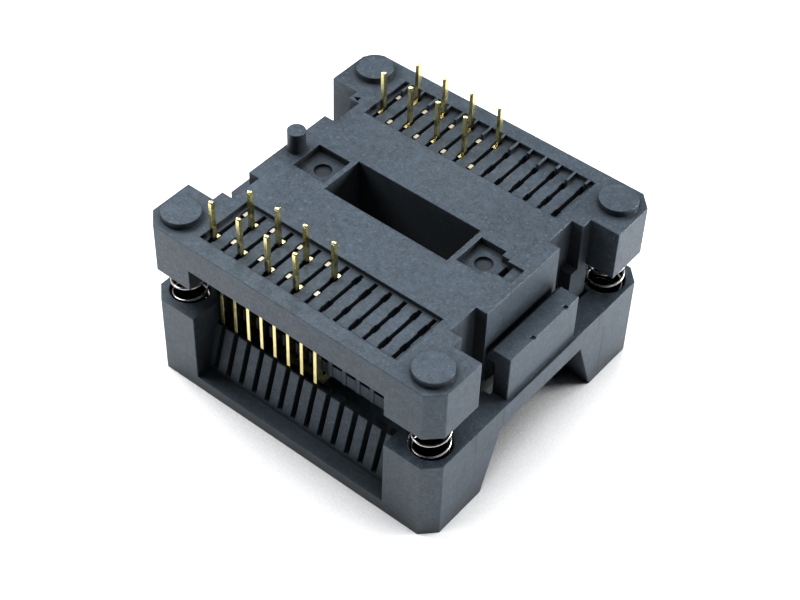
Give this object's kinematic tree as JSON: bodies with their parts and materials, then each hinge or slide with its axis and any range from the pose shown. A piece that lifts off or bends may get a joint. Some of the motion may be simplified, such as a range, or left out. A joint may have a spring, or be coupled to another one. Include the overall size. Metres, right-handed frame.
{
  "type": "ic test socket",
  "caption": "Open-top test socket for a small-outline IC, standing on its push-down cover with the gold contact tails, standoff discs and locating post up and four coil springs at the corners.",
  "frame": {"origin": "middle of the cover's outer face, which the part stands on", "axes": "+X along the contact rows away from the locating post, +Y to the far contact row, +Z out of the contact tails"},
  "size_m": [0.0264, 0.0252, 0.0177],
  "materials": {
    "base_plastic": "matte",
    "cover_plastic": "matte",
    "contact_gold": "gloss",
    "spring_steel": "gloss"
  },
  "bodies": {
    "base": {"base_housing": "base_plastic", "near_contact_1": "contact_gold", "near_contact_2": "contact_gold", "near_contact_3": "contact_gold", "near_contact_4": "contact_gold", "near_contact_5": "contact_gold", "near_contact_6": "contact_gold", "near_contact_7": "contact_gold", "near_contact_8": "contact_gold", "far_contact_1": "contact_gold", "far_contact_2": "contact_gold", "far_contact_3": "contact_gold", "far_contact_4": "contact_gold", "far_contact_5": "contact_gold", "far_contact_6": "contact_gold", "far_contact_7": "contact_gold", "far_contact_8": "contact_gold", "near_left_spring": "spring_steel", "near_right_spring": "spring_steel", "far_left_spring": "spring_steel", "far_right_spring": "spring_steel"},
    "cover": {"cover": "cover_plastic"}
  },
  "joints": [
    {"name": "cover_push", "type": "slide", "parent": "base", "child": "cover", "axis": [0, 0, 1], "range_m": [0, 0.0028], "stiffness_N_per_m": 400, "springref_m": -0.004, "deforming": ["near_left_spring", "near_right_spring", "far_left_spring", "far_right_spring"]}
  ]
}
